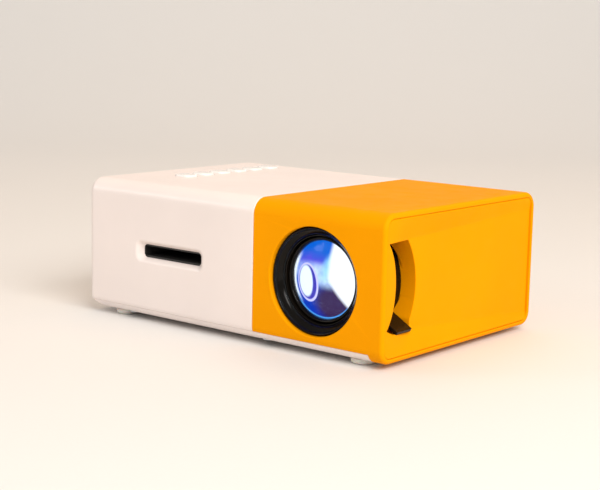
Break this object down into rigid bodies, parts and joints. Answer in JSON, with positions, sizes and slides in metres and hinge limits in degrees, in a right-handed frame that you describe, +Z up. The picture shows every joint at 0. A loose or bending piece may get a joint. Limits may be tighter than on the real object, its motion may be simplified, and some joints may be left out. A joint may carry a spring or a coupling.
{
  "type": "palm-size projector",
  "caption": "Small box-shaped projector with a round lens, a focus tab in a curved side slot, a card slot, top keys and rear sockets, on rubber feet.",
  "frame": {"origin": "on the floor under the middle of the case", "axes": "+X towards the end with the focus slot, +Y from the lens face to the back, +Z up"},
  "size_m": [0.126, 0.085, 0.0474],
  "materials": {
    "white_plastic": "satin moulded shell",
    "yellow_plastic": "satin moulded shell",
    "black_plastic": "polished black trim",
    "dark_plastic": "fine matt moulding",
    "rubber": "translucent soft pad",
    "glass": "coated optical glass",
    "aluminium": "sawn extrusion",
    "steel": "plated sheet and screws",
    "brass": "turned insert",
    "board_green": "solder mask",
    "film_orange": "flex film",
    "lamp_yellow": "lamp phosphor",
    "paper_grey": "pressed paper cone"
  },
  "bodies": {
    "base": {"upper_cover": "white_plastic", "bottom_cover": "white_plastic", "right_cover": "yellow_plastic", "side_panel": "yellow_plastic", "foot_front_left": "rubber", "foot_front_right": "rubber", "foot_rear_left": "rubber", "foot_rear_right": "rubber", "lens_bezel": "black_plastic", "fan_frame": "black_plastic", "ir_window": "black_plastic", "fan_lead": "black_plastic", "speaker_lead": "black_plastic", "lens_housing": "dark_plastic", "light_box": "dark_plastic", "lcd_panel": "dark_plastic", "main_chip": "dark_plastic", "ir_receiver": "dark_plastic", "audio_socket": "dark_plastic", "av_socket": "dark_plastic", "dc_socket": "dark_plastic", "fresnel_lens": "glass", "condenser_lens": "glass", "led_chip": "lamp_yellow", "led_board": "board_green", "main_board": "board_green", "key_board": "board_green", "heat_sink": "aluminium", "usb_socket": "steel", "hdmi_socket": "steel", "card_socket": "steel", "speaker_frame": "steel", "cover_screw_1": "steel", "cover_screw_2": "steel", "cover_screw_3": "steel", "cover_screw_4": "steel", "board_screw_1": "steel", "board_screw_2": "steel", "board_screw_3": "steel", "board_screw_4": "steel", "speaker_cone": "paper_grey", "lcd_ribbon": "film_orange", "tripod_insert": "brass"},
    "focus_ring": {"focus_ring": "black_plastic"},
    "lens_group": {"lens_barrel": "dark_plastic", "front_lens": "glass", "rear_lens": "glass"},
    "fan_rotor": {"fan_rotor": "black_plastic"},
    "key_1": {"key_1": "white_plastic"},
    "key_2": {"key_2": "white_plastic"},
    "key_3": {"key_3": "white_plastic"},
    "key_4": {"key_4": "white_plastic"},
    "key_5": {"key_5": "white_plastic"},
    "key_6": {"key_6": "white_plastic"}
  },
  "joints": [
    {"name": "focus_turn", "type": "hinge", "parent": "base", "child": "focus_ring", "pos_m": [0.0362, -0.029, 0.0235], "axis": [0, -1, 0], "range_deg": [0, 52]},
    {"name": "lens_slide", "type": "slide", "parent": "base", "child": "lens_group", "axis": [0, 1, 0], "range_m": [0, 0.003]},
    {"name": "fan_spin", "type": "hinge", "parent": "base", "child": "fan_rotor", "pos_m": [0.0362, 0.0352, 0.0235], "axis": [0, 1, 0], "continuous": true},
    {"name": "key_1_press", "type": "slide", "parent": "base", "child": "key_1", "axis": [0, 0, -1], "range_m": [0, 0.0008], "stiffness_N_per_m": 300},
    {"name": "key_2_press", "type": "slide", "parent": "base", "child": "key_2", "axis": [0, 0, -1], "range_m": [0, 0.0008], "stiffness_N_per_m": 300},
    {"name": "key_3_press", "type": "slide", "parent": "base", "child": "key_3", "axis": [0, 0, -1], "range_m": [0, 0.0008], "stiffness_N_per_m": 300},
    {"name": "key_4_press", "type": "slide", "parent": "base", "child": "key_4", "axis": [0, 0, -1], "range_m": [0, 0.0008], "stiffness_N_per_m": 300},
    {"name": "key_5_press", "type": "slide", "parent": "base", "child": "key_5", "axis": [0, 0, -1], "range_m": [0, 0.0008], "stiffness_N_per_m": 300},
    {"name": "key_6_press", "type": "slide", "parent": "base", "child": "key_6", "axis": [0, 0, -1], "range_m": [0, 0.0008], "stiffness_N_per_m": 300}
  ],
  "couplings": [
    {"joint": "focus_turn", "follows": "lens_slide", "rad_per_m": 302.5}
  ]
}
